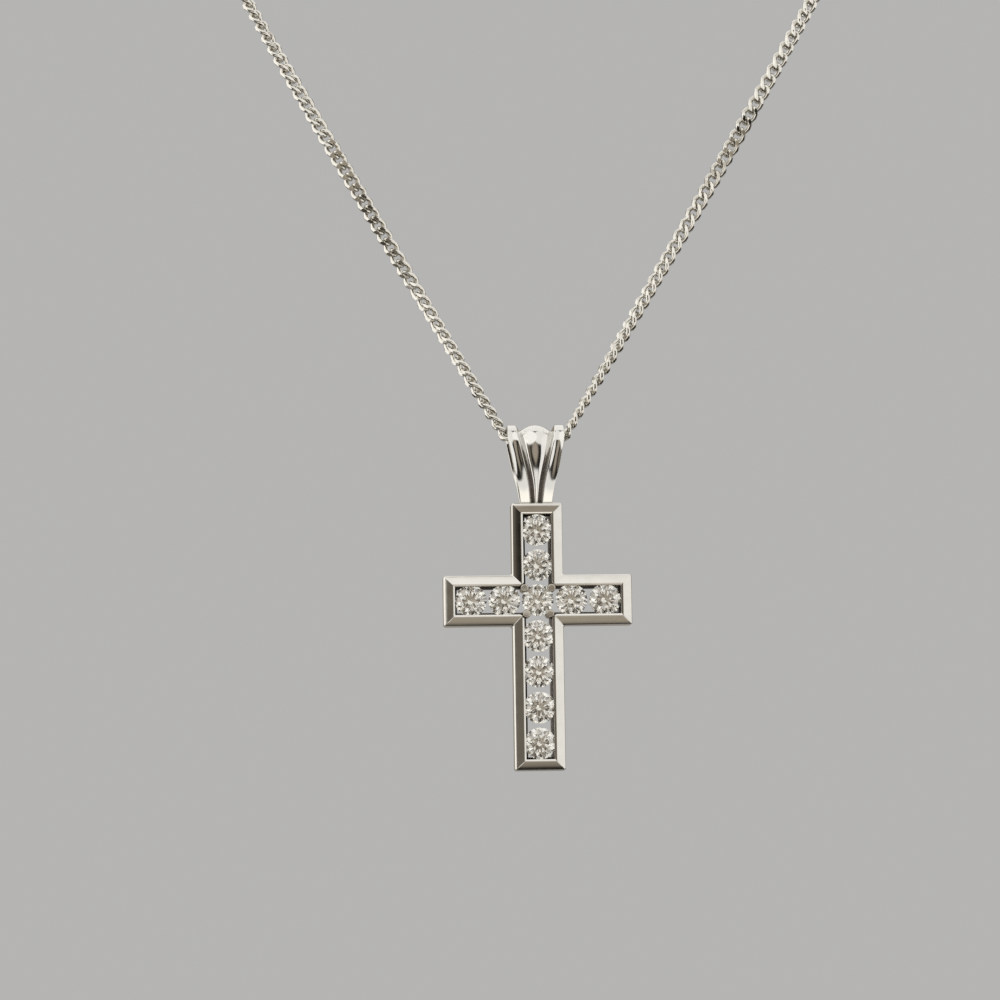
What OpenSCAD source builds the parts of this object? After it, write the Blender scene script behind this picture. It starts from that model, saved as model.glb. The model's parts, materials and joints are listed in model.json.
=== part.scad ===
// Channel-set cross pendant with a fluted bail, hanging on a curb chain. Lengths are millimetres, +Z is up
// and the front faces -Y. The origin is the middle of the neck that the chain goes round.

/* [Stones] */
// Diameter of every round stone
stone_d = 3; // [2.6:0.05:3.4]
// Width of a stone's table as a share of its diameter
table_share = 0.57; // [0.53:0.01:0.62]
// Height of a stone's crown as a share of its diameter
crown_share = 0.15; // [0.13:0.01:0.17]
// Depth of a stone's pavilion as a share of its diameter
pavilion_share = 0.43; // [0.41:0.01:0.45]
// Thickness of a stone's girdle at its thick points
girdle_h = 0.12; // [0.1:0.01:0.18]
// Length of the star facets as a share of the way from the table to the girdle
star_share = 0.5; // [0.45:0.05:0.6]
// Length of the lower facets as a share of the way from the girdle to the point
lower_share = 0.77; // [0.7:0.01:0.85]
// Turn of each stone from the one before it, as hand setting leaves them
stone_turn = 17; // [0:1:44]
// Gap between the stones of the cross arm
row_gap = 0.18; // [0.12:0.01:0.4]
// Gap between the stones above the centre
upper_gap = 0.33; // [0.2:0.01:0.5]
// Gap between the stones below the centre
lower_gap = 0.38; // [0.2:0.01:0.5]

/* [Cross frame] */
// Width of the rim from the channel to the outside
rim_w = 1.08; // [0.9:0.02:1.4]
// Depth of the cross from front to back
cross_depth = 2.2; // [2:0.05:2.6]
// Width of the thin lip along the channel
lip_w = 0.2; // [0.14:0.02:0.3]
// How far the lip lies below the crest of the bevel
lip_drop = 0.07; // [0.04:0.01:0.12]
// How far the bevel falls from its crest to the outside
bevel_drop = 0.45; // [0.3:0.05:0.6]
// How far each lip reaches over the stones' edges
lip_cover = 0.17; // [0.12:0.01:0.22]
// Thickness of the metal above the stones' girdles
lip_h = 0.28; // [0.24:0.01:0.34]
// Width of the ledge under the stones' edges, from the lip inwards
ledge_w = 0.2; // [0.1:0.02:0.3]
// Radius of the cross's outer corners
corner_r = 0.2; // [0.1:0.02:0.35]
// Gap between a stone and its seat
seat_gap = 0.04; // [0.03:0.01:0.06]

/* [Centre prongs] */
// Diameter of the four prongs
prong_d = 0.76; // [0.6:0.02:0.84]
// How far each prong reaches over the centre stone's edge
prong_grip = 0.18; // [0.12:0.02:0.24]
// Height of the prongs above the lip
prong_rise = 0.34; // [0.26:0.02:0.44]
// Width of the cut that frees the prongs from the frame's corners
relief_gap = 0.1; // [0.06:0.02:0.16]

/* [Bail] */
// Height of the bail above the cross
bail_h = 7.5; // [6.8:0.1:8.4]
// Greatest width of the bail
bail_w = 5.4; // [5:0.1:5.8]
// Depth of the bail's loop
bail_depth = 3.9; // [3.7:0.05:4.4]
// Thickness of the bail's wall
bail_wall = 0.33; // [0.28:0.01:0.38]
// Depth of the two grooves beside the middle petal
groove_depth = 0.55; // [0.4:0.05:0.6]
// Depth of the flute in each side wing
flute_depth = 0.22; // [0.1:0.02:0.3]
// Share of the grooves' depth that the bail's inner face follows
inner_follow = 0.6; // [0.5:0.05:0.75]
// How far the bail's legs reach into the cross
foot_sink = 0.3; // [0.2:0.05:0.4]
// Height of the solder seam at the bail's foot
solder_h = 0.18; // [0.1:0.02:0.3]

/* [Chain] */
// Width of the curb chain across its broad face
chain_w = 1.5; // [1.3:0.05:1.55]
// Thickness of the curb chain
chain_t = 0.9; // [0.8:0.02:0.94]
// Distance from the bail's top down to the chain's line
chain_drop = 1.56; // [1.54:0.02:1.7]
// Radius of the chain's bend at each side of the bail
bend_r = 1.7; // [1.6:0.05:1.9]
// How far inside the bail's widest rims the chain's bend begins
bend_inset = 1.1; // [1:0.02:1.14]

/* [Clasp] */
// Outer diameter of the clasp's ring
clasp_d = 5.5; // [5:0.1:7]
// Wire diameter of the clasp's ring
clasp_wire = 1.1; // [0.9:0.05:1.4]
// Outer diameter of the small loop at each end of the clasp
loop_d = 2.2; // [1.9:0.1:2.6]
// Wire diameter of the small loops
loop_wire = 0.55; // [0.45:0.05:0.65]
// Gap between the clasp and each end of the chain
clasp_gap = 0.1; // [0.08:0.02:0.3]

/* [Hidden] */
// The chain's route from the bail to the nape on the +X side, in points chosen by hand. The other side
// mirrors it.
chain_route = [
    [9.1, -57, -86], [21, -57, -65.5], [31, -55.5, -47.5], [42, -47, -27], [50.5, -30, -11], [54, -10, -2],
    [52.5, 12, 4], [44.5, 31.5, 8], [30.5, 45.5, 10.5], [13, 53.2, 12]];
// The chain's lowest point, inside the bail, and the clasp's middle at the nape
chain_low = [0, -57, -97];
clasp_place = [0, 54.6, 12.2];
// From the chain's end to a point past it that guides the curve's last stretch
end_guide = [-4, 0.2, 0];
// Angle at which the chain leaves the bail, from level
chain_rise = 58;
// Turn of the chain's broad face out of the neck's surface. Columns: distance along the chain from its lowest
// point, degrees.
chain_turn = [[0, 90], [8, 90], [15, 37], [22, 12], [30, 0], [50, -28], [80, 0], [300, 0]];
stones_across = 2;
stones_up = 2;
stones_down = 4;
// The bail's form by height. Columns: share of its height, share of the greatest width, places of the groove
// and the ridge as shares of the half width, share of the groove's depth, share of the flute's depth.
bail_form = [
    [0.00, 0.545, 0.27, 0.49, 0.45, 0.0],
    [0.21, 0.610, 0.30, 0.49, 0.50, 0.1],
    [0.41, 0.755, 0.36, 0.50, 0.65, 0.6],
    [0.60, 0.875, 0.43, 0.54, 0.80, 1.0],
    [0.84, 1.000, 0.54, 0.67, 1.00, 0.4],
    [1.00, 0.980, 0.57, 0.71, 1.00, 0.0]];
metal = "#d9d7d2";
gem = "#eef2f4";

stone_r = stone_d / 2;
channel_w = stone_d - 2 * lip_cover;
arm_w = channel_w + 2 * rim_w;
row_pitch = stone_d + row_gap;
upper_pitch = stone_d + upper_gap;
lower_pitch = stone_d + lower_gap;
channel_side = stones_across * row_pitch + stone_r;
channel_top = stones_up * upper_pitch + stone_r;
channel_bottom = -stones_down * lower_pitch - stone_r;
bevel_w = rim_w - lip_w;
lip_z = cross_depth - lip_drop;
girdle_z = lip_z - lip_h;
crown_h = crown_share * stone_d;
pavilion_h = pavilion_share * stone_d;
table_r = table_share * stone_r;
prong_place = (stone_r - prong_grip + prong_d / 2) * sqrt(0.5);
relief_r = prong_place * sqrt(2) + prong_d / 2 + relief_gap;

// Heights in the pendant's own frame, whose origin is on the swing axis
bail_top = chain_drop;
cross_top = bail_top - bail_h;
arm_line = cross_top - channel_top - rim_w;

// Where each stone sits: name, place across, place up from the cross arm's line
stone_seats = concat(
    [["stone_centre", 0, 0]],
    [for (i = [1:stones_up]) [str("stone_up_", i), 0, i * upper_pitch]],
    [for (i = [1:stones_down]) [str("stone_down_", i), 0, -i * lower_pitch]],
    [for (i = [1:stones_across]) [str("stone_left_", i), -i * row_pitch, 0]],
    [for (i = [1:stones_across]) [str("stone_right_", i), i * row_pitch, 0]]);

// The cross is drawn lying on its back, then stood up with its front towards -Y.
module stood_up() {
    translate(chain_low + [0, cross_depth / 2, arm_line]) rotate([90, 0, 0]) children();
}

module at_swing_axis() {
    translate(chain_low) children();
}

// A block with straight sides and a bevel that rises inwards to a flat middle, between two opposite corners
module bevelled_bar(lo, hi) {
    intersection() {
        translate([0, hi.y, 0]) rotate([90, 0, 0]) linear_extrude(hi.y - lo.y) bar_profile(lo.x, hi.x);
        translate([lo.x, 0, 0]) rotate([90, 0, 90]) linear_extrude(hi.x - lo.x) bar_profile(lo.y, hi.y);
        linear_extrude(cross_depth) rounded_rectangle(lo, hi, corner_r);
    }
}

module bar_profile(from, to) {
    side_h = cross_depth - bevel_drop;
    polygon([
        [from, 0], [to, 0], [to, side_h], [to - bevel_w, cross_depth], [from + bevel_w, cross_depth],
        [from, side_h]]);
}

module rounded_rectangle(lo, hi, r) {
    translate([lo.x + r, lo.y]) square([hi.x - lo.x - 2 * r, hi.y - lo.y]);
    translate([lo.x, lo.y + r]) square([hi.x - lo.x, hi.y - lo.y - 2 * r]);
    for (x = [lo.x + r, hi.x - r], y = [lo.y + r, hi.y - r]) translate([x, y]) circle(r, $fn = 48);
}

// A cross-shaped cut from from_z up to past the front. Each side lies wider and each end lies longer than the
// channel's own.
module cross_cut(wider, longer, from_z) {
    half = channel_w / 2 + wider;
    cut_h = cross_depth + 1 - from_z;
    translate([-half, channel_bottom - longer, from_z])
        cube([2 * half, channel_top - channel_bottom + 2 * longer, cut_h]);
    translate([-channel_side - longer, -half, from_z]) cube([2 * (channel_side + longer), 2 * half, cut_h]);
}

// The room that a stone and its gap take, as a solid of revolution
module stone_room() {
    r = stone_r + seat_gap;
    translate([0, 0, girdle_z]) rotate_extrude($fn = 96) polygon([
        [0, -girdle_h - pavilion_h - 2 * seat_gap], [r, -girdle_h - seat_gap], [r, seat_gap],
        [table_r + seat_gap, seat_gap + crown_h], [0, seat_gap + crown_h]]);
}

module prong() {
    head_z = lip_z + prong_rise - prong_d / 2;
    cylinder(d = prong_d, h = head_z, $fn = 48);
    translate([0, 0, head_z]) sphere(d = prong_d, $fn = 48);
}

module cross_frame() {
    outer_side = channel_side + rim_w;
    difference() {
        union() {
            difference() {
                union() {
                    bevelled_bar([-arm_w / 2, channel_bottom - rim_w], [arm_w / 2, channel_top + rim_w]);
                    bevelled_bar([-outer_side, -arm_w / 2], [outer_side, arm_w / 2]);
                }
                cross_cut(lip_w, lip_w, lip_z);
                cross_cut(0, 0, girdle_z - girdle_h);
                cross_cut(-ledge_w, 0, -1);
                translate([0, 0, girdle_z - girdle_h]) cylinder(r = relief_r, h = cross_depth, $fn = 96);
            }
            for (x = [-1, 1], y = [-1, 1]) translate([x * prong_place, y * prong_place, 0]) prong();
        }
        for (seat = stone_seats) translate([seat[1], seat[2], 0]) stone_room();
    }
}

function column_at(h, col) = lookup(h, [for (row = bail_form) [row[0], row[col]]]);

// The bail's side view: a line up the front, an arc over the top and a line down the back. Each station is
// [y, z, outward y, outward z] on the ridges.
loop_r = bail_depth / 2;
loop_z = bail_top - loop_r;
foot_front = cross_depth / 2 - bevel_drop;
foot_back = cross_depth / 2 - corner_r / 2;
foot_z = cross_top - foot_sink;
function tangent_angle(foot, side) =
    let (dy = foot, dz = foot_z - loop_z, away = norm([dy, dz]))
    atan2(dz, side * dy) + acos(loop_r / away);
front_turn = tangent_angle(foot_front, 1);
back_turn = tangent_angle(foot_back, 1);
leg_steps = 8;
arc_steps = 12;
function on_loop(a) = [loop_r * cos(a), loop_z + loop_r * sin(a), cos(a), sin(a)];
function leg(foot, turn, side) = [for (i = [0:leg_steps - 1])
    let (end = on_loop(turn), k = i / leg_steps)
    [side * (foot + (end[0] - foot) * k), foot_z + (end[1] - foot_z) * k, side * end[2], end[3]]];
function reversed(list) = [for (i = [len(list) - 1:-1:0]) list[i]];
bail_stations = concat(
    leg(foot_front, front_turn, -1),
    [for (i = [0:arc_steps]) on_loop(180 - front_turn + (back_turn - 180 + front_turn) * i / arc_steps)],
    reversed(leg(foot_back, back_turn, 1)));

// Across the bail: [share of the way to the groove, to the ridge, to the edge], mirrored about the middle
half_columns = [
    [0.35, 0, 0], [0.7, 0, 0], [0.9, 0, 0], [1, 0, 0], [1, 0.5, 0], [1, 1, 0], [1, 1, 0.25], [1, 1, 0.5],
    [1, 1, 0.75], [1, 1, 1]];
bail_columns = concat(
    [for (c = reversed(half_columns)) [-1, c]], [[1, [0, 0, 0]]], [for (c = half_columns) [1, c]]);

function bail_point(station, column, wall) =
    let (
        h = max(0, (station[1] - cross_top) / bail_h),
        c = column[1],
        half = bail_w / 2 * column_at(h, 1),
        groove = column_at(h, 2),
        ridge = column_at(h, 3),
        place = c[0] * groove + c[1] * (ridge - groove) + c[2] * (1 - ridge),
        dent = groove_depth * column_at(h, 4) * (c[1] > 0 ? 1 - c[1] : c[0] * c[0]),
        flute = flute_depth * column_at(h, 5) * sin(180 * c[2]),
        out = wall > 0 ? -wall - inner_follow * (dent + flute) : -dent - flute)
    [column[0] * place * half, station[0] + out * station[2], station[1] + out * station[3]];

// A closed skin over two grids of points with the same rows and columns
module skin(outer, inner) {
    rows = len(outer);
    cols = len(outer[0]);
    flat_points = concat([for (row = outer) each row], [for (row = inner) each row]);
    back = rows * cols;
    polyhedron(flat_points, concat(
        [for (i = [0:rows - 2], j = [0:cols - 2], a = i * cols + j, b = a + cols) each quad(
            a, a + 1, b + 1, b)],
        [for (i = [0:rows - 2], j = [0:cols - 2], a = back + i * cols + j, b = a + cols) each quad(
            b, b + 1, a + 1, a)],
        [for (i = [0:rows - 2]) each quad(
            i * cols, (i + 1) * cols, back + (i + 1) * cols, back + i * cols)],
        [for (i = [0:rows - 2], last = cols - 1) each quad(
            (i + 1) * cols + last, i * cols + last, back + i * cols + last, back + (i + 1) * cols + last)],
        [for (j = [0:cols - 2]) each quad(j + 1, j, back + j, back + j + 1)],
        [for (j = [0:cols - 2], row = (rows - 1) * cols) each quad(
            row + j, row + j + 1, back + row + j + 1, back + row + j)]));
}

function quad(a, b, c, d) = [[a, c, b], [a, d, c]];

module bail() {
    skin(
        [for (s = bail_stations) [for (c = bail_columns) bail_point(s, c, 0)]],
        [for (s = bail_stations) [for (c = bail_columns) bail_point(s, c, bail_wall)]]);
}

// The solder between the bail's two legs and the top of the cross
module solder_seam() {
    half = bail_w * bail_form[0][1] / 2 + solder_h;
    translate([0, foot_back, foot_z]) rotate([90, 0, 0]) linear_extrude(foot_front + foot_back) polygon([
        [-half, 0], [half, 0], [half, foot_sink], [half - solder_h, foot_sink + solder_h],
        [solder_h - half, foot_sink + solder_h], [-half, foot_sink]]);
}

module cross_and_bail() {
    color(metal) {
        stood_up() cross_frame();
        at_swing_axis() {
            bail();
            solder_seam();
        }
    }
}

// A round brilliant: table, eight stars, eight kites, sixteen upper facets, girdle, sixteen lower facets and
// eight pavilion facets. Heights are above the girdle's upper edge.
function ring(r, z, from) = [for (i = [0:7]) [r * cos(from + 45 * i), r * sin(from + 45 * i), z]];
module brilliant() {
    crown_slope = crown_h / (stone_r - table_r);
    pavilion_slope = pavilion_h / stone_r;
    table_mid = table_r * cos(22.5);
    star_r = table_mid + star_share * (stone_r - table_mid);
    star_z = (stone_r - star_r * cos(22.5)) * crown_slope;
    lower_r = (1 - lower_share) * stone_r;
    lower_z = -girdle_h - (stone_r - lower_r * cos(22.5)) * pavilion_slope;
    chord = stone_r * cos(11.25);
    upper_sag = (stone_r - chord) * star_z / (chord - star_r * cos(11.25));
    lower_sag = (stone_r - chord) * (-girdle_h - lower_z) / (chord - lower_r * cos(11.25));
    half = [for (i = [0:15]) let (a = 11.25 + 22.5 * i) [stone_r * cos(a), stone_r * sin(a)]];
    points = concat(
        ring(table_r, crown_h, 0),
        ring(star_r, star_z, 22.5),
        [for (i = [0:15]) let (a = 22.5 * i) [stone_r * cos(a), stone_r * sin(a), 0]],
        [for (p = half) [p.x, p.y, -upper_sag]],
        [for (i = [0:15]) let (a = 22.5 * i) [stone_r * cos(a), stone_r * sin(a), -girdle_h]],
        [for (p = half) [p.x, p.y, -girdle_h + lower_sag]],
        ring(lower_r, lower_z, 22.5),
        [[0, 0, -girdle_h - pavilion_h]]);
    star = 8;
    top = 16;
    top_half = 32;
    low = 48;
    low_half = 64;
    lower = 80;
    culet = 88;
    polyhedron(points, concat(
        [[for (i = [7:-1:0]) i]],
        [for (i = [0:7]) [i, (i + 1) % 8, star + i]],
        [for (i = [0:7]) [i, star + i, top + 2 * i, star + (i + 7) % 8]],
        [for (i = [0:7]) [star + i, top + 2 * i + 1, top_half + 2 * i, top + 2 * i]],
        [for (i = [0:7]) [star + i, top + (2 * i + 2) % 16, top_half + 2 * i + 1, top + 2 * i + 1]],
        [for (i = [0:15]) [top + i, top_half + i, low_half + i, low + i]],
        [for (i = [0:15]) [top_half + i, top + (i + 1) % 16, low + (i + 1) % 16, low_half + i]],
        [for (i = [0:7]) [lower + i, low + 2 * i, low_half + 2 * i, low + 2 * i + 1]],
        [for (i = [0:7]) [lower + i, low + 2 * i + 1, low_half + 2 * i + 1, low + (2 * i + 2) % 16]],
        [for (i = [0:7]) [culet, lower + (i + 7) % 8, low + 2 * i, lower + i]]));
}

// A stone in its seat
module stone(i) {
    seat = stone_seats[i];
    color(gem) stood_up() translate([seat[1], seat[2], girdle_z]) rotate([0, 0, stone_turn * i]) brilliant();
}

// A point on the smooth curve through four neighbours, k of the way from b to c
function curve_point(a, b, c, d, k) =
    0.5 * (2 * b + (c - a) * k + (2 * a - 5 * b + 4 * c - d) * k * k + (3 * b - a - 3 * c + d) * k * k * k);

chain_end = clasp_place + [clasp_d / 2 + loop_d - 1.5 * loop_wire + clasp_gap, 0, 0];
bend_x = bail_w / 2 - bend_inset;
bend_steps = 6;
route_steps = 3;
// The chain's half route: level through the bail, a bend at its side, then the chosen points up to the clasp
bend = [for (i = [0:bend_steps]) let (a = chain_rise * i / bend_steps)
    chain_low + [bend_x + bend_r * sin(a), 0, bend_r * (1 - cos(a))]];
anchors = concat(
    [bend[bend_steps] - bend_r * [cos(chain_rise), 0, sin(chain_rise)], bend[bend_steps]],
    chain_route,
    [chain_end, chain_end + end_guide]);
half_route = concat(
    bend,
    [for (i = [1:len(anchors) - 3], k = [1:route_steps])
        curve_point(anchors[i - 1], anchors[i], anchors[i + 1], anchors[i + 2], k / route_steps)]);
route = concat([for (p = reversed(half_route)) [-p.x, p.y, p.z]], half_route);

function lengths_to(path, i = 0, sum = 0) = i >= len(path) - 1 ? [sum]
    : concat([sum], lengths_to(path, i + 1, sum + norm(path[i + 1] - path[i])));
route_length = lengths_to(route);
chain_length = route_length[len(route) - 1];
function unit(v) = v / norm(v);
function tangent(i) = unit(route[min(i + 1, len(route) - 1)] - route[max(i - 1, 0)]);

// One ring of the chain's outer form: an oval with its broad face turned out of the neck's surface
function chain_ring(i) =
    let (
        along = tangent(i),
        off_axis = [route[i].x, route[i].y, 0],
        outward = unit(off_axis - (off_axis * along) * along),
        level = cross(along, outward),
        turn = lookup(abs(route_length[i] - chain_length / 2), chain_turn),
        wide = cos(turn) * level + sin(turn) * outward,
        thin = cross(wide, along))
    [for (j = [0:7]) route[i] + chain_w / 2 * cos(45 * j + 22.5) / cos(22.5) * wide
        + chain_t / 2 * sin(45 * j + 22.5) / cos(22.5) * thin];

module chain() {
    rings = [for (i = [0:len(route) - 1]) chain_ring(i)];
    last = 8 * (len(rings) - 1);
    color(metal) polyhedron([for (r = rings) each r], concat(
        [[for (j = [7:-1:0]) j]],
        [for (i = [0:len(rings) - 2], j = [0:7]) each quad(
            8 * i + j, 8 * i + 8 + j, 8 * i + 8 + (j + 1) % 8, 8 * i + (j + 1) % 8)],
        [[for (j = [0:7]) last + j]]));
}

module torus(outer_d, wire) {
    rotate_extrude($fn = 48) translate([(outer_d - wire) / 2, 0]) circle(d = wire, $fn = 24);
}

// A plain ring clasp with a small loop at each side that holds the chain's end link
module clasp() {
    loop_x = clasp_d / 2 + loop_d / 2 - 1.5 * loop_wire;
    color(metal) translate(clasp_place) rotate([90, 0, 0]) {
        torus(clasp_d, clasp_wire);
        for (side = [-1, 1]) translate([side * loop_x, 0, 0]) torus(loop_d, loop_wire);
    }
}

chain();
clasp();
cross_and_bail();
for (i = [0:len(stone_seats) - 1]) stone(i);
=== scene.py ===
# A channel-set diamond cross with a fluted bail, hanging on a curb chain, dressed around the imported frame.
# Lengths are metres, +Z is up and the front faces -Y.
import json
import math
import random

import bmesh
import bpy
from mathutils import Matrix, Vector


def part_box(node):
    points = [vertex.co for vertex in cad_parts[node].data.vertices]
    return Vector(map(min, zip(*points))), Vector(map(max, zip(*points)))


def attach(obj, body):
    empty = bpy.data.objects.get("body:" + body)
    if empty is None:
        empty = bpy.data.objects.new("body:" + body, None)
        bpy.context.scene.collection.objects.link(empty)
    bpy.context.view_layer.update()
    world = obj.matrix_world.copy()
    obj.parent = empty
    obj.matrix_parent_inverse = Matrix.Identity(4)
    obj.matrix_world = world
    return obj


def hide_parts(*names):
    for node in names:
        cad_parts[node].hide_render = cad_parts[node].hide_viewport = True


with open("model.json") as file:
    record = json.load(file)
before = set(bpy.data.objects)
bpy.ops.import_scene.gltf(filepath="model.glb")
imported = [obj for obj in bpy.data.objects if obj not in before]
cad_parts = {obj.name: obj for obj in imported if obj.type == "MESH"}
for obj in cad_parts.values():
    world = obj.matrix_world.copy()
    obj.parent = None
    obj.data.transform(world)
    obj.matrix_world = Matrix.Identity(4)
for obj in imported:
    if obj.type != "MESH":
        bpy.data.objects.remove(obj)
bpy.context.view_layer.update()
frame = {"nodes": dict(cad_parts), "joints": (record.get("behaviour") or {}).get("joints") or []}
MM = 0.001


# The cross frame
# One polished white gold casting, open at the back. Its flat bevel rises inwards to a crest, and a thin lip
# inside the crest holds the stones by their edges. Ledges carry them from below.
def middle_of(node):
    low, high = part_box(node)
    return (low + high) / 2


swing = Vector(frame["joints"][0]["pos_m"])
arm_line = middle_of("stone_centre").z
stone_r = (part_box("stone_centre")[1].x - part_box("stone_centre")[0].x) / 2
channel_side = middle_of("stone_right_2").x + stone_r
channel_top = middle_of("stone_up_2").z - arm_line + stone_r
channel_bottom = arm_line - middle_of("stone_down_4").z + stone_r
lip_cover = 0.17 * MM
channel_half = stone_r - lip_cover
rim_w = 1.08 * MM
cross_depth = 2.2 * MM
lip_w = 0.2 * MM
lip_z = cross_depth - 0.07 * MM
lip_slope = 0.09 * MM
bevel_drop = 0.45 * MM
bevel_middle = (rim_w + lip_w) / 2
bevel_crown = 0.01 * MM
girdle_z = lip_z - 0.28 * MM
girdle_h = 0.12 * MM
seat_gap = 0.04 * MM
ledge_w = 0.2 * MM
ledge_z = 1.34 * MM
relief_cut = 0.39 * MM
relief_steps = 4
top_end_lift = 0.37 * MM
left_end_drop = 0.035 * MM
bottom_end_drop = 0.03 * MM
corner_r = 0.25 * MM
corner_steps = 4
merge_gap = 1e-7
near = 1e-6

# White gold as polished, and as cast with its colour painted dark as shade: colours, lowest and highest
# roughness, depth of the unevenness
polished_colour = (0.63, 0.615, 0.58)
polish = (0.05, 0.15)
polish_ripple = 2e-6
unpolished_painted_shade_colour = (0.2, 0.18, 0.16)
cast_roughness = (0.35, 0.5)
cast_ripple = 6e-6
worn_share = 0.93
wear_scale = 900
wear_detail = 5
wear_from, wear_to = 0.3, 0.7
wave_scale = 450
wave_detail = 2

# Lines round the cross, from the back edge over the front and down the channel. Columns: how far outside the
# channel, height, rounding of the line itself, rounding of the corners that lead up to it, unpolished and
# painted dark as shade
frame_lines = [
    (rim_w, 0, 0.1, 0, False),
    (rim_w, cross_depth - bevel_drop, 0.17, 0.25, False),
    (bevel_middle, cross_depth - bevel_drop / 2 + bevel_crown, 0, 0.05, False),
    (lip_w, cross_depth, 0.04, 0.05, False),
    (0, cross_depth - lip_slope, 0.03, 0.03, False),
    (0, girdle_z + seat_gap, 0, 0, True),
    (lip_cover + seat_gap, girdle_z + seat_gap, 0, 0, True),
    (lip_cover + seat_gap, girdle_z - girdle_h - seat_gap, 0, 0, True),
    (-ledge_w, ledge_z, 0, 0, True),
    (-ledge_w, 0, 0.05, 0, True),
    (rim_w, 0, 0.1, 0, False)]


def verts_of(made):
    """The corners among what an operator made."""
    return [item for item in made if isinstance(item, bmesh.types.BMVert)]


def draw_cross(bm, outside):
    """The cross's outline, so far outside the channel: a square whose four sides are drawn out into arms."""
    half = channel_half + outside
    bmesh.ops.create_grid(bm, x_segments=1, y_segments=1, size=half)
    for edge in bm.edges[:]:
        middle = (edge.verts[0].co + edge.verts[1].co) / 2
        end = channel_side
        if abs(middle.y) > abs(middle.x):
            end = channel_top if middle.y > 0 else channel_bottom
        arm = verts_of(bmesh.ops.extrude_edge_only(bm, edges=[edge])["geom"])
        bmesh.ops.translate(bm, verts=arm, vec=middle.normalized() * (end + outside - half))
    bmesh.ops.dissolve_faces(bm, faces=bm.faces[:])
    bmesh.ops.delete(bm, geom=bm.faces[:], context="FACES_ONLY")
    return bm.edges[:]


def step_line(bm, line, out, up):
    """Draws a wall from a cross-shaped line to its copy, moved outwards and up, and gives the copy."""
    made = bmesh.ops.extrude_edge_only(bm, edges=line)["geom"]
    corners = verts_of(made)
    for corner in corners:
        corner.co += Vector((out * math.copysign(1, corner.co.x), out * math.copysign(1, corner.co.y), up))
    edges = [item for item in made if isinstance(item, bmesh.types.BMEdge)]
    return [edge for edge in edges if set(edge.verts) <= set(corners)]


def finish_piece(name, bm, place, body, *nodes):
    """Puts a drawn shape in its place and makes it a piece that rides on a body and stands for CAD nodes."""
    bmesh.ops.transform(bm, matrix=place, verts=bm.verts)
    mesh = bpy.data.meshes.new(name)
    bm.to_mesh(mesh)
    bm.free()
    mesh.shade_smooth()
    piece = bpy.data.objects.new(name, mesh)
    bpy.context.scene.collection.objects.link(piece)
    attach(piece, body)
    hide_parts(*nodes)
    return piece


def round_edges(piece, width, segments):
    """Rounds a piece's edges by their own shares of a width, and keeps its broad faces flat."""
    bevel = piece.modifiers.new("rounded_edges", "BEVEL")
    bevel.limit_method = "WEIGHT"
    bevel.width = width
    bevel.segments = segments
    bevel.use_clamp_overlap = False
    piece.modifiers.new("flat_faces", "WEIGHTED_NORMAL").keep_sharp = True


def white_gold(name, colour, roughness, ripple):
    """White gold between its lowest and highest roughness, with the depth of its unevenness in metres."""
    material = bpy.data.materials.new(name)
    material.use_nodes = True
    nodes, links = material.node_tree.nodes, material.node_tree.links
    metal = nodes["Principled BSDF"]
    metal.inputs["Metallic"].default_value = 1
    coords = nodes.new("ShaderNodeTexCoord")
    wear = nodes.new("ShaderNodeTexNoise")
    wear.inputs["Scale"].default_value = wear_scale
    wear.inputs["Detail"].default_value = wear_detail
    tone = nodes.new("ShaderNodeMapRange")
    tone.inputs["To Min"].default_value, tone.inputs["To Max"].default_value = roughness
    tint = nodes.new("ShaderNodeValToRGB")
    tint.color_ramp.elements[0].position = wear_from
    tint.color_ramp.elements[0].color = [part * worn_share for part in colour] + [1]
    tint.color_ramp.elements[1].position = wear_to
    tint.color_ramp.elements[1].color = [*colour, 1]
    waves = nodes.new("ShaderNodeTexNoise")
    waves.inputs["Scale"].default_value = wave_scale
    waves.inputs["Detail"].default_value = wave_detail
    bump = nodes.new("ShaderNodeBump")
    bump.inputs["Distance"].default_value = ripple
    for texture in (wear, waves):
        links.new(coords.outputs["Object"], texture.inputs["Vector"])
    links.new(wear.outputs["Fac"], tone.inputs["Value"])
    links.new(wear.outputs["Fac"], tint.inputs["Fac"])
    links.new(waves.outputs["Fac"], bump.inputs["Height"])
    links.new(tone.outputs["Result"], metal.inputs["Roughness"])
    links.new(tint.outputs["Color"], metal.inputs["Base Color"])
    links.new(bump.outputs["Normal"], metal.inputs["Normal"])
    return material


polished_gold = white_gold("polished_white_gold", polished_colour, polish, polish_ripple)
unpolished_painted_shade_gold = white_gold("unpolished_painted_shade_white_gold", unpolished_painted_shade_colour, cast_roughness, cast_ripple)
cross_stand = Matrix.Translation((swing.x, swing.y + cross_depth / 2, arm_line)) @ Matrix.Rotation(
    math.radians(90), 4, "X")

bm = bmesh.new()
roundness = bm.edges.layers.float.new("bevel_weight_edge")
line = draw_cross(bm, frame_lines[0][0])
for edge in line:
    edge[roundness] = frame_lines[0][2] * MM / corner_r
for (out_1, z_1, *_), (out_2, z_2, line_round, corner_round, unpolished_painted_shade) in zip(frame_lines, frame_lines[1:]):
    old_edges, old_faces = set(bm.edges), set(bm.faces)
    line = step_line(bm, line, out_2 - out_1, z_2 - z_1)
    for edge in set(bm.edges) - old_edges:
        edge[roundness] = (line_round if edge in line else corner_round) * MM / corner_r
    for face in set(bm.faces) - old_faces:
        # The channel's inside faces take the rough gold, whose dark colour is painted shade
        face.material_index = int(unpolished_painted_shade)
bmesh.ops.remove_doubles(bm, verts=bm.verts, dist=merge_gap)
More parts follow.
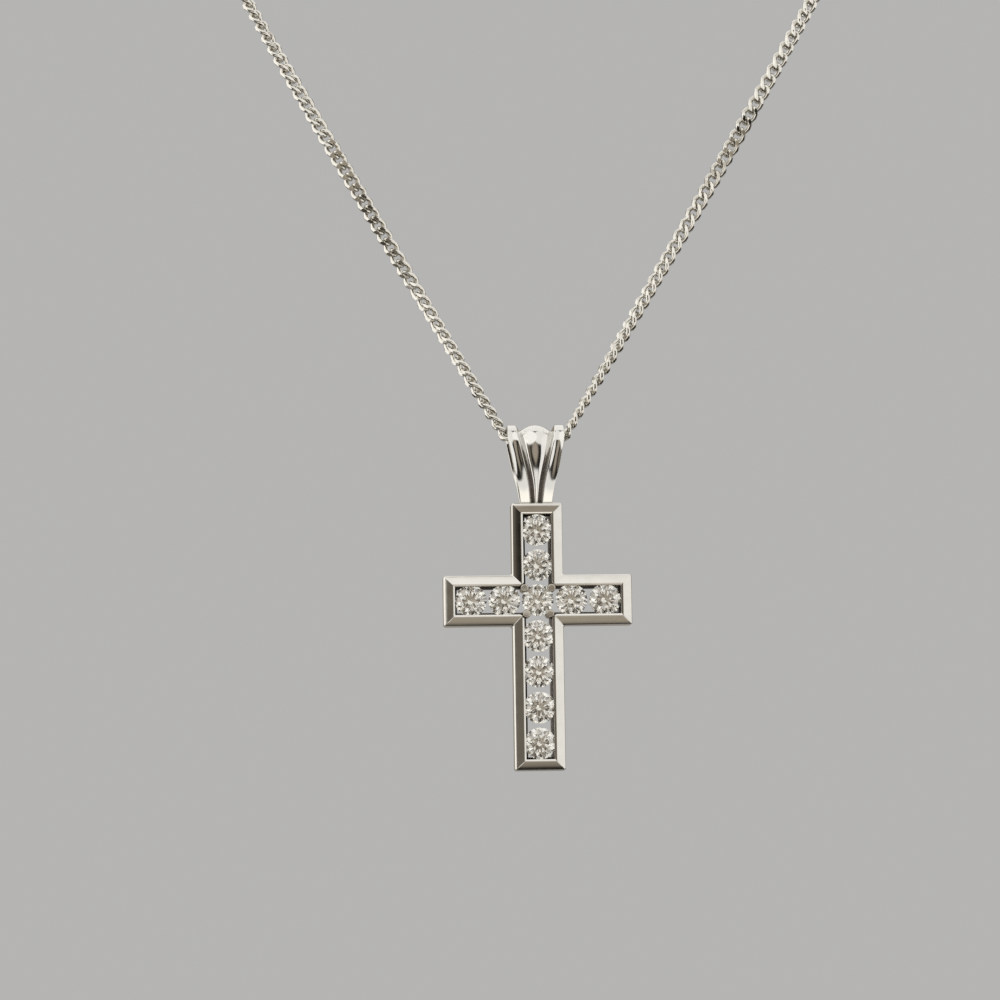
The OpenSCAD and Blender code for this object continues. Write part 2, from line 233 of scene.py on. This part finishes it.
# The bevel is filed flatter at the top end, and a little steeper at the left and bottom ends
for (out, level, *_), share in ((frame_lines[1], 1), (frame_lines[2], 0.5)):
    for vert in [vert for vert in bm.verts if abs(vert.co.z - level) < near]:
        if abs(vert.co.y - channel_top - out) < near:
            vert.co.z += share * top_end_lift
        elif abs(vert.co.x + channel_side + out) < near:
            vert.co.z -= share * left_end_drop
        elif abs(vert.co.y + channel_bottom + out) < near:
            vert.co.z -= share * bottom_end_drop
# The channel's four inner corners are cut back for the prongs
inner_corners = [edge for edge in bm.edges if all(
    abs(abs(place) - channel_half) < near for vert in edge.verts for place in vert.co.xy)]
bmesh.ops.bevel(
    bm, geom=inner_corners, offset=relief_cut, segments=relief_steps, profile=0.5, affect="EDGES",
    material=-1)
bmesh.ops.recalc_face_normals(bm, faces=bm.faces)
cross_frame = finish_piece("cross_frame", bm, cross_stand, "pendant", "cross_and_bail")
cross_frame.data.materials.append(polished_gold)
cross_frame.data.materials.append(unpolished_painted_shade_gold)
round_edges(cross_frame, corner_r, corner_steps)


# The centre prongs
# Four round posts of the casting stand in the corners of the crossing. Their heads are pushed over the centre
# stone, filed nearly flat and left matt.
prong_r = 0.38 * MM
prong_grip = 0.18 * MM
prong_reach = stone_r - prong_grip + prong_r
prong_top = lip_z + 0.3 * MM
prong_foot = 0.15 * MM
prong_sides = 28
prong_round = 0.12 * MM
prong_round_steps = 5
matt_colour = (0.5, 0.46, 0.395)
matt_roughness = (0.3, 0.42)
matt_ripple = 8e-6
# Columns: side, up or down, degrees round the centre stone, degrees that the filed head leans outwards
prong_places = [(-1, -1, 49.5, 9.5), (-1, 1, 41.5, 13), (1, -1, 49.5, 3), (1, 1, 41.5, 4)]

bm = bmesh.new()
for side_x, side_y, turn, lean in prong_places:
    post = bmesh.ops.create_cone(
        bm, cap_ends=True, segments=prong_sides, radius1=prong_r, radius2=prong_r,
        depth=prong_top - prong_foot,
        matrix=Matrix.Translation((0, 0, (prong_top + prong_foot) / 2)))["verts"]
    head = [vert for vert in post if vert.co.z > prong_top / 2]
    bmesh.ops.transform(
        bm, verts=head, space=Matrix.Translation((0, 0, -prong_top)),
        matrix=Matrix.Rotation(math.radians(lean), 4, Vector((side_y, -side_x, 0))))
    turn = math.radians(turn)
    bmesh.ops.translate(bm, verts=post, vec=(
        side_x * prong_reach * math.cos(turn), side_y * prong_reach * math.sin(turn), 0))
    rim = [edge for edge in bm.edges if edge.verts[0] in head and edge.verts[1] in head]
    bmesh.ops.bevel(
        bm, geom=rim, offset=prong_round, segments=prong_round_steps, profile=0.5, affect="EDGES",
        material=-1)
bmesh.ops.recalc_face_normals(bm, faces=bm.faces)
prongs = finish_piece("centre_prongs", bm, cross_stand, "pendant", "cross_and_bail")
prongs.data.materials.append(white_gold("matt_white_gold", matt_colour, matt_roughness, matt_ripple))
prongs.modifiers.new("flat_heads", "WEIGHTED_NORMAL")


# The stones
# Eleven round brilliant diamonds of three millimetres, each with its table, crown and pavilion facets as they
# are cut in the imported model. By hand no two are set quite level, so each leans a little its own way.
stone_lean = (1.5, 4.0)
lean_seed = 5
diamond_tint = (0.76, 0.752, 0.71, 1)
diamond_ior = 2.417
smear_scale = 1200
smear_start = 0.45
smear_roughness = 0.008


def diamond():
    """Clear, very slightly warm diamond with faint smears on its polish."""
    material = bpy.data.materials.new("diamond")
    material.use_nodes = True
    nodes, links = material.node_tree.nodes, material.node_tree.links
    stone = nodes["Principled BSDF"]
    stone.inputs["Base Color"].default_value = diamond_tint
    stone.inputs["IOR"].default_value = diamond_ior
    stone.inputs["Transmission Weight"].default_value = 1
    coords = nodes.new("ShaderNodeTexCoord")
    smear = nodes.new("ShaderNodeTexNoise")
    smear.inputs["Scale"].default_value = smear_scale
    film = nodes.new("ShaderNodeMapRange")
    film.inputs["From Min"].default_value = smear_start
    film.inputs["To Max"].default_value = smear_roughness
    links.new(coords.outputs["Object"], smear.inputs["Vector"])
    links.new(smear.outputs["Fac"], film.inputs["Value"])
    links.new(film.outputs["Result"], stone.inputs["Roughness"])
    return material


diamond_material = diamond()
rng = random.Random(lean_seed)
for name in sorted(name for name in frame["nodes"] if name.startswith("stone_")):
    bm = bmesh.new()
    bm.from_mesh(frame["nodes"][name].data)
    bmesh.ops.remove_doubles(bm, verts=bm.verts, dist=merge_gap)
    bmesh.ops.recalc_face_normals(bm, faces=bm.faces)
    way = rng.uniform(0, 2 * math.pi)
    lean_line = Vector((math.cos(way), 0, math.sin(way)))
    lean = Matrix.Rotation(math.radians(rng.uniform(*stone_lean)), 4, lean_line)
    centre = Matrix.Translation(middle_of(name))
    place = centre @ lean @ centre.inverted()
    stone = finish_piece(name.replace("stone", "diamond"), bm, place, "pendant", name)
    stone.data.shade_flat()
    stone.data.materials.append(diamond_material)


# The bail
# A strip of white gold pressed into a domed middle petal between two fluted wings, bent over the chain and
# soldered to the cross by both its feet.
bail_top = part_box("cross_and_bail")[1].z - swing.z
cross_top = arm_line + channel_top + rim_w - swing.z
bail_h = bail_top - cross_top
bail_w = 5.4 * MM
bail_depth = 3.9 * MM
bail_wall = 0.33 * MM
groove_depth = 0.64 * MM
flute_depth = 0.22 * MM
inner_follow = 0.6
bail_colour = (0.68, 0.67, 0.64)
# Shares of the height below which the grooves are fully dull and painted dark as shade, and above which they
# are polished and unshaded
unpolished_shaded_below, polished_unshaded_above = 0.36, 0.62
unpolished_roughness = 0.42
foot_sink = 0.3 * MM

# The bail's form by height. Columns: share of its height, share of the greatest width, places of the
# groove and the ridge as shares of the half width, share of the groove's depth, share of the flute's depth,
# roundness of the dome's middle
bail_form = [
    (0.00, 0.555, 0.19, 0.38, 0.55, 0.0, 0.9),
    (0.21, 0.645, 0.25, 0.43, 0.60, 0.15, 0.9),
    (0.41, 0.785, 0.35, 0.48, 0.72, 0.7, 0.8),
    (0.60, 0.890, 0.45, 0.55, 0.85, 1.0, 0.6),
    (0.84, 1.000, 0.54, 0.63, 1.00, 0.5, 0.95),
    (1.00, 0.985, 0.57, 0.69, 1.00, 0.0, 1.0)]
# Across the bail from its middle: share of the way to the groove, on to the ridge, and on to the edge
bail_across = [
    (0.22, 0, 0), (0.44, 0, 0), (0.64, 0, 0), (0.82, 0, 0), (0.95, 0, 0), (1, 0, 0), (1, 0.1, 0), (1, 0.5, 0),
    (1, 0.85, 0), (1, 1, 0.06), (1, 1, 0.25), (1, 1, 0.5), (1, 1, 0.75), (1, 1, 0.94), (1, 1, 1)]
loop_r = bail_depth / 2
loop_z = bail_top - loop_r
foot_front = cross_depth / 2 - bevel_drop
foot_back = cross_depth / 2 - corner_r / 2
foot_z = cross_top - foot_sink
leg_top_lean = 8
front_lean = -22
back_lean = -17
leg_ease = 0.33
leg_steps = 16
arc_steps = 24
smooth_steps = 2


def smooth_column(table, share, column):
    """A table's column at a share of the height, on a smooth curve through its rows."""
    row = max(i for i in range(len(table) - 1) if i == 0 or table[i][0] <= share)
    rows = [table[min(max(row + k, 0), len(table) - 1)] for k in (-1, 0, 1, 2)]
    span = rows[2][0] - rows[1][0]
    k = (share - rows[1][0]) / span
    slopes = [
        (rows[i + 1][column] - rows[i - 1][column]) / (rows[i + 1][0] - rows[i - 1][0]) * span
        for i in (1, 2)]
    start, end = rows[1][column], rows[2][column]
    return (start + slopes[0] * k + (3 * (end - start) - 2 * slopes[0] - slopes[1]) * k ** 2
            + (2 * (start - end) + slopes[0] + slopes[1]) * k ** 3)


def down_leg(foot, foot_lean, k):
    """A place k of the way down a leg, from the arc over the chain to the foot: forward, height, lean."""
    top_lean = math.radians(leg_top_lean)
    top = Vector((loop_r * math.cos(top_lean), loop_z + loop_r * math.sin(top_lean)))
    end = Vector((foot, foot_z))
    reach = (end - top).length * leg_ease
    leans = (top_lean, math.radians(foot_lean))
    way = [Vector((math.sin(lean), -math.cos(lean))) * reach for lean in leans]
    place = (top * (1 - k) ** 3 + 3 * (top + way[0]) * k * (1 - k) ** 2
             + 3 * (end - way[1]) * k ** 2 * (1 - k) + end * k ** 3)
    heading = (way[0] * (1 - k) ** 2 + 2 * (end - way[1] - top - way[0]) * k * (1 - k) + way[1] * k ** 2)
    return place.x, place.y, math.atan2(heading.x, -heading.y)


def bail_stations():
    """Places up the front leg, over the arc and down the back leg: y, z and the way out of the ridges."""
    stations = []
    for side, foot, foot_lean in ((-1, foot_front, front_lean), (1, foot_back, back_lean)):
        leg = []
        for i in range(leg_steps):
            forward, z, lean = down_leg(foot, foot_lean, 1 - i / leg_steps)
            leg.append((side * forward, z, side * math.cos(lean), math.sin(lean)))
        stations.append(leg)
    arc = []
    top_lean = math.radians(leg_top_lean)
    for i in range(arc_steps + 1):
        angle = math.pi - top_lean - (math.pi - 2 * top_lean) * i / arc_steps
        out_y, out_z = math.cos(angle), math.sin(angle)
        arc.append((loop_r * out_y, loop_z + loop_r * out_z, out_y, out_z))
    return stations[0] + arc + stations[1][::-1]


def bail_point(station, side, across, inner):
    """A point of the bail's outer or inner face, at a station along it and a place across it."""
    y, z, out_y, out_z = station
    share = min(max((z - cross_top) / bail_h, 0), 1)
    width, groove, ridge, groove_share, flute_share, crown = (
        smooth_column(bail_form, share, column) for column in range(1, 7))
    to_groove, to_ridge, to_edge = across
    place = to_groove * groove + to_ridge * (ridge - groove) + to_edge * (1 - ridge)
    dome = crown * to_groove ** 2 + (1 - crown) * to_groove ** 6
    dent = groove_depth * groove_share * (1 - to_ridge if to_ridge > 0 else dome)
    flute = flute_depth * flute_share * math.sin(math.pi * to_edge)
    out = -bail_wall - inner_follow * (dent + flute) if inner else -dent - flute
    return Vector((side * place * bail_w / 2 * width, y + out * out_y, z + out * out_z))


def dull_and_shade_grooves(material, attribute):
    """Dulls a polished gold and darkens it with painted shade where the piece's attribute marks the grooves,
    fully towards the bail's feet.
    """
    nodes, links = material.node_tree.nodes, material.node_tree.links
    metal = nodes["Principled BSDF"]
    reach = nodes.new("ShaderNodeAttribute")
    reach.attribute_name = attribute
    for finish, mix_kind, socket_kind, unpolished_shade_value in (
            ("Base Color", "RGBA", "RGBA", (*unpolished_painted_shade_colour, 1)),
            ("Roughness", "FLOAT", "VALUE", unpolished_roughness)):
        mix = nodes.new("ShaderNodeMix")
        mix.data_type = mix_kind
        polished, unpolished_painted_shade = [socket for socket in mix.inputs if socket.type == socket_kind][-2:]
        result = [socket for socket in mix.outputs if socket.type == socket_kind][0]
        unpolished_painted_shade.default_value = unpolished_shade_value
        links.new(metal.inputs[finish].links[0].from_socket, polished)
        links.new(reach.outputs["Fac"], mix.inputs["Factor"])
        links.new(result, metal.inputs[finish])
    return material


bm = bmesh.new()
stations = bail_stations()
dull_and_painted_shade = bm.verts.layers.float.new("unpolished_painted_shade")
full_dull_shade_z, polished_unshaded_z = (cross_top + share * bail_h for share in (unpolished_shaded_below, polished_unshaded_above))
columns = [(-1, across) for across in bail_across[::-1]] + [(1, (0, 0, 0))]
columns += [(1, across) for across in bail_across]
for inner in (False, True):
    sheet = bmesh.ops.create_grid(
        bm, x_segments=len(columns) - 1, y_segments=len(stations) - 1, size=1)["verts"]
    for vert in sheet:
        column = columns[round((vert.co.x + 1) / 2 * (len(columns) - 1))]
        station = stations[round((vert.co.y + 1) / 2 * (len(stations) - 1))]
        vert.co = bail_point(station, *column, inner)
        to_groove, to_ridge, _ = column[1]
        # The outer grooves get painted shade, full low on the bail and fading out higher up
        if not inner and to_groove == 1 and to_ridge < 1:
            vert[dull_and_painted_shade] = min(max((polished_unshaded_z - vert.co.z) / (polished_unshaded_z - full_dull_shade_z), 0), 1)
bmesh.ops.bridge_loops(bm, edges=[edge for edge in bm.edges if edge.is_boundary])
bmesh.ops.recalc_face_normals(bm, faces=bm.faces)
bail = finish_piece("fluted_bail", bm, Matrix.Translation(swing), "pendant", "cross_and_bail")
bail_gold = white_gold("bail_white_gold", bail_colour, polish, polish_ripple)
bail.data.materials.append(dull_and_shade_grooves(bail_gold, "unpolished_painted_shade"))
smooth = bail.modifiers.new("smooth_form", "SUBSURF")
smooth.levels = smooth.render_levels = smooth_steps


# The solder seam
# A low fillet of white gold solder runs round the bail's two feet on the end of the cross. It was flowed in
# by the flame and is a little less bright than the castings.
solder_h = 0.18 * MM
solder_round = 0.9 * solder_h
solder_steps = 5
solder_hollow = 0.3
solder_colour = (0.6, 0.58, 0.54)
solder_roughness = (0.12, 0.25)
solder_ripple = 8e-6
seam_half = bail_w * bail_form[0][1] / 2 + solder_h

bm = bmesh.new()
bmesh.ops.create_cube(bm, size=1)
bmesh.ops.scale(bm, verts=bm.verts, vec=(2 * seam_half, foot_front + foot_back, foot_sink + solder_h))
bmesh.ops.translate(
    bm, verts=bm.verts, vec=(0, (foot_back - foot_front) / 2, foot_z + (foot_sink + solder_h) / 2))
top_edges = [edge for edge in bm.edges if all(vert.co.z > cross_top for vert in edge.verts)]
bmesh.ops.bevel(
    bm, geom=top_edges, offset=solder_round, segments=solder_steps, profile=solder_hollow, affect="EDGES",
    material=-1)
bmesh.ops.recalc_face_normals(bm, faces=bm.faces)
solder = finish_piece("bail_solder", bm, Matrix.Translation(swing), "pendant", "cross_and_bail")
solder.data.materials.append(white_gold("solder", solder_colour, solder_roughness, solder_ripple))


# The curb chain
# Oval links of round white gold wire, passed through each other, twisted so that they lie flat, and filed on
# both faces. The two halves run from inside the bail to the clasp at the nape.
link_pitch = 1.21 * MM
link_half_length = 0.87 * MM
link_half_width = 0.55 * MM
link_twist = math.radians(52)
link_wire_r = 0.24 * MM
link_face = 0.4 * MM
link_wobble = 3
wobble_seed = 7
wire_sides = 8
link_steps = 16
bend_r = 1.7 * MM
bend_inset = 1.1 * MM
chain_rise = math.radians(58)
curve_steps = 24
chain_colour = (0.66, 0.64, 0.59)
chain_polish = (0.05, 0.14)

# The route from the bail to the nape on the +X side, in millimetres
chain_route = [
    (9.1, -57, -86), (21, -57, -65.5), (31, -55.5, -47.5), (42, -47, -27), (50.5, -30, -11), (54, -10, -2),
    (52.5, 12, 4), (44.5, 31.5, 8), (30.5, 45.5, 10.5), (13, 53.2, 12)]
end_guide = Vector((-4, 0.2, 0)) * MM
# Turn of the links' broad face out of the neck's surface: millimetres along from the bail, degrees
right_turn = [(0, 90), (8, 86), (50, -22), (80, 0), (215, 0), (224, 90)]
left_turn = [(0, 90), (6, 70), (17, 41), (28, 3), (35, -20), (50, -82), (80, 0), (215, 0), (224, 90)]
# The chain hangs a little to the right as it rises: millimetres above its lowest point, millimetres aside
chain_lean = [(0, 0), (47, 0.35), (95, 0.35), (109, 0)]


def lookup(table, place):
    """A table's value at a place, straight between its rows."""
    for (start, value), (end, next_value) in zip(table, table[1:]):
        if place <= end:
            return value + (next_value - value) * (place - start) / (end - start)
    return table[-1][1]


def curve_point(a, b, c, d, k):
    """A point on the smooth curve through four neighbours, k of the way from b to c."""
    return 0.5 * (
        2 * b + (c - a) * k + (2 * a - 5 * b + 4 * c - d) * k ** 2 + (3 * b - a - 3 * c + d) * k ** 3)


def half_route():
    """The chain's line from inside the bail to the clasp on the +X side."""
    bend_x = bail_w / 2 - bend_inset
    bend = [swing + Vector((bend_x + bend_r * math.sin(a), 0, bend_r * (1 - math.cos(a))))
            for a in (chain_rise * i / curve_steps for i in range(curve_steps + 1))]
    clasp_end = Vector((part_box("clasp")[1].x, middle_of("clasp").y, middle_of("clasp").z))
    anchors = [bend[-1] - bend_r * Vector((math.cos(chain_rise), 0, math.sin(chain_rise))), bend[-1]]
    anchors += [Vector(point) * MM for point in chain_route]
    anchors += [clasp_end, clasp_end + end_guide]
    route = [swing] + bend
    for four in zip(anchors, anchors[1:], anchors[2:], anchors[3:]):
        route += [curve_point(*four, k / curve_steps) for k in range(1, curve_steps + 1)]
    return route


def link_mesh():
    """One link: a ring spun from a circle of wire, drawn out to an oval, twisted, and filed on both faces."""
    bm = bmesh.new()
    bmesh.ops.create_circle(
        bm, segments=wire_sides, radius=link_wire_r,
        matrix=Matrix.Translation((link_half_length, 0, 0)) @ Matrix.Rotation(math.radians(90), 4, "X"))
    bmesh.ops.spin(
        bm, geom=bm.verts[:] + bm.edges[:], cent=(0, 0, 0), axis=(0, 0, 1), angle=2 * math.pi,
        steps=link_steps, use_merge=True)
    for vert in bm.verts:
        t = math.atan2(vert.co.y, vert.co.x)
        outward = Vector((link_half_width * math.cos(t), link_half_length * math.sin(t), 0)).normalized()
        oval = Vector((link_half_length * math.cos(t), link_half_width * math.sin(t), vert.co.z))
        oval += outward * (math.hypot(vert.co.x, vert.co.y) - link_half_length)
        vert.co = Matrix.Rotation(-link_twist * oval.x / link_half_length, 3, "X") @ oval
    for side in (-1, 1):
        bmesh.ops.bisect_plane(
            bm, geom=bm.verts[:] + bm.edges[:] + bm.faces[:], plane_co=(0, 0, side * link_face),
            plane_no=(0, 0, side), clear_outer=True)
        filed = bmesh.ops.holes_fill(bm, edges=[edge for edge in bm.edges if edge.is_boundary])["faces"]
        for edge in {edge for face in filed for edge in face.edges}:
            edge.smooth = False
    bmesh.ops.recalc_face_normals(bm, faces=bm.faces)
    mesh = bpy.data.meshes.new("curb_link")
    bm.to_mesh(mesh)
    bm.free()
    return mesh


def lay_links(name, link, side, turn_table, first):
    """Lays links along one side of the route at an even pitch, each turned with the chain."""
    rng = random.Random(wobble_seed)
    route = [Vector((side * p.x, p.y, p.z)) for p in half_route()]
    lengths = [0]
    for a, b in zip(route, route[1:]):
        lengths.append(lengths[-1] + (b - a).length)
    count = round(lengths[-1] / link_pitch)
    bm = bmesh.new()
    station = 1
    for i in range(first, count + 1):
        place = lengths[-1] * i / count
        while station < len(route) - 1 and lengths[station] < place:
            station += 1
        k = (place - lengths[station - 1]) / (lengths[station] - lengths[station - 1])
        centre = route[station - 1].lerp(route[station], k)
        centre.x += lookup(chain_lean, (centre.z - swing.z) / MM) * MM
        along = (route[station] - route[station - 1]).normalized() * side
        outward = Vector((centre.x, centre.y, 0))
        outward = (outward - outward.dot(along) * along).normalized()
        level = along.cross(outward)
        wobble = rng.uniform(-link_wobble, link_wobble)
        turn = math.radians(lookup(turn_table, place / MM) * side + wobble)
        wide = math.cos(turn) * level + math.sin(turn) * outward
        thin = along.cross(wide)
        old = len(bm.verts)
        bm.from_mesh(link)
        basis = Matrix((along, wide, thin)).transposed().to_4x4()
        bmesh.ops.transform(bm, matrix=Matrix.Translation(centre) @ basis, verts=bm.verts[old:])
    piece = finish_piece(name, bm, Matrix.Identity(4), "necklace", "chain")
    piece.data.materials.append(chain_gold)


chain_gold = white_gold("chain_white_gold", chain_colour, chain_polish, polish_ripple)
curb_link = link_mesh()
lay_links("curb_chain_right", curb_link, 1, right_turn, 0)
lay_links("curb_chain_left", curb_link, -1, left_turn, 1)


# The clasp
# A plain ring of white gold wire at the nape, with a small loop soldered at each side for the chain's end
# link. It is polished as the cross is.
clasp = frame["nodes"]["clasp"]
clasp.data.materials.clear()
clasp.data.materials.append(polished_gold)


# The studio
# A plain pale floor and backdrop, lit by large soft panels above, to the right and to the left, with a low
# white card in front. The room behind the camera stays dim and warm, which gives the polished gold its depth.
floor_z = -0.3
floor_r = 3.5
floor_sides = 96
floor_roughness = 0.9
pale_grey = (0.46, 0.457, 0.45, 1)
# Soft panels and the dim warm room. Columns: degrees round from the front to the right, degrees up, half
# width and half height as slopes, brightness, soft edge as a share of its size
lamp_colour = (1, 0.99, 0.965, 1)
lamps = [
    (44, 46, 1.05, 0.62, 1.14, 0.15),
    (-50, 46, 1.05, 0.62, 1.33, 0.15),
    (76, 6, 0.93, 0.9, 1.22, 0.2),
    (-100, 6, 0.86, 0.9, 1.45, 0.2),
    (-2, -31, 0.8, 0.22, 1.1, 0.3),
    (180, 62, 1.2, 0.7, 1.2, 0.4),
    (180, -55, 1.2, 0.7, 0.35, 0.4)]
room_colour = (1, 0.88, 0.72, 1)
room_dark = 0.025
least_depth = 0.001
room = [
    (-4, 4, 0.34, 0.32, 0.46, 0.8),
    (-12, -45, 1.0, 0.22, 0.49, 0.7),
    (-60, 0, 0.5, 0.5, 0.2, 0.6),
    (180, 5, 1.5, 0.5, 0.32, 0.6)]

bm = bmesh.new()
bmesh.ops.create_circle(bm, cap_ends=True, segments=floor_sides, radius=floor_r)
bmesh.ops.translate(bm, verts=bm.verts, vec=(0, 0, floor_z))
floor_mesh = bpy.data.meshes.new("floor")
bm.to_mesh(floor_mesh)
bm.free()
floor = bpy.data.objects.new("floor", floor_mesh)
bpy.context.scene.collection.objects.link(floor)
floor.visible_glossy = False
floor.visible_transmission = False
floor_material = bpy.data.materials.new("pale_floor")
floor_material.use_nodes = True
floor_shader = floor_material.node_tree.nodes["Principled BSDF"]
floor_shader.inputs["Base Color"].default_value = pale_grey
floor_shader.inputs["Roughness"].default_value = floor_roughness
floor_mesh.materials.append(floor_material)

world = bpy.data.worlds.new("studio")
bpy.context.scene.world = world
world.use_nodes = True
nodes, links = world.node_tree.nodes, world.node_tree.links


def studio_math(operation, *values):
    """A sum in the world's nodes, of plain numbers and other nodes' results."""
    node = nodes.new("ShaderNodeMath")
    node.operation = operation
    for socket, value in zip(node.inputs, values):
        if isinstance(value, (int, float)):
            socket.default_value = value
        else:
            links.new(value, socket)
    return node.outputs[0]


def along_ray(direction):
    """How far a ray goes along a direction."""
    node = nodes.new("ShaderNodeVectorMath")
    node.operation = "DOT_PRODUCT"
    links.new(ray, node.inputs[0])
    node.inputs[1].default_value = direction
    return node.outputs["Value"]


def soft_step(value, start, end):
    """Rises smoothly from 0 to 1 as a value goes from start to end."""
    node = nodes.new("ShaderNodeMapRange")
    node.interpolation_type = "SMOOTHSTEP"
    links.new(value, node.inputs["Value"])
    node.inputs["From Min"].default_value = start
    node.inputs["From Max"].default_value = end
    return node.outputs["Result"]


def panel_light(turn, tilt, half_w, half_h, brightness, edge):
    """How bright a soft oval panel is in the direction of a ray."""
    turn, tilt = math.radians(turn), math.radians(tilt)
    ahead = Vector((math.sin(turn) * math.cos(tilt), -math.cos(turn) * math.cos(tilt), math.sin(tilt)))
    across = Vector((math.cos(turn), math.sin(turn), 0))
    depth = studio_math("MAXIMUM", along_ray(ahead), least_depth)
    slopes = [studio_math("DIVIDE", along_ray(direction / half), depth)
              for direction, half in ((across, half_w), (ahead.cross(across), half_h))]
    squares = [studio_math("MULTIPLY", slope, slope) for slope in slopes]
    inside = soft_step(studio_math("ADD", *squares), 1 + edge, 1 - edge)
    return studio_math("MULTIPLY", inside, brightness)


def background(colour, strength):
    """A background of one colour, at full strength or at a strength that changes with direction."""
    node = nodes.new("ShaderNodeBackground")
    node.inputs["Color"].default_value = colour
    if strength is not None:
        links.new(strength, node.inputs["Strength"])
    return node.outputs["Background"]


def brightest(panels, least):
    """The brightest of some panels in each direction, and never less than the least."""
    light = least
    for panel in panels:
        light = studio_math("MAXIMUM", light, panel_light(*panel))
    return light


ray = nodes.new("ShaderNodeTexCoord").outputs["Generated"]
studio = nodes.new("ShaderNodeAddShader")
links.new(background(room_colour, brightest(room, room_dark)), studio.inputs[0])
links.new(background(lamp_colour, brightest(lamps, 0)), studio.inputs[1])
seen = nodes.new("ShaderNodeLightPath")
mix = nodes.new("ShaderNodeMixShader")
links.new(seen.outputs["Is Camera Ray"], mix.inputs["Fac"])
links.new(studio.outputs["Shader"], mix.inputs[1])
links.new(background(pale_grey, None), mix.inputs[2])
links.new(mix.outputs["Shader"], nodes["World Output"].inputs["Surface"])


# The camera
# A long lens, slightly left of the front and slightly below the pendant, with everything in focus. Light is
# followed through enough turns for the stones.
camera_aim = Vector((-0.00347, -0.058, -0.10265))
camera_distance = 0.4
camera_azimuth = math.radians(-3.5)
camera_elevation = math.radians(-5)
camera_roll = math.radians(-0.88)
view_angle = math.radians(13.5)

camera = bpy.data.objects.new("camera", bpy.data.cameras.new("camera"))
bpy.context.scene.collection.objects.link(camera)
camera.data.angle = view_angle
back = Vector((
    math.sin(camera_azimuth) * math.cos(camera_elevation),
    -math.cos(camera_azimuth) * math.cos(camera_elevation),
    math.sin(camera_elevation)))
camera.matrix_world = Matrix.Translation(camera_aim + back * camera_distance) @ (
    (-back).to_track_quat("-Z", "Y").to_matrix().to_4x4() @ Matrix.Rotation(camera_roll, 4, "Z"))
bpy.context.scene.camera = camera
bpy.context.scene.view_settings.view_transform = "Standard"
bpy.context.scene.cycles.max_bounces = 24
bpy.context.scene.cycles.glossy_bounces = 16
bpy.context.scene.cycles.transmission_bounces = 24

# The scene is brought up to date
bpy.context.view_layer.update()
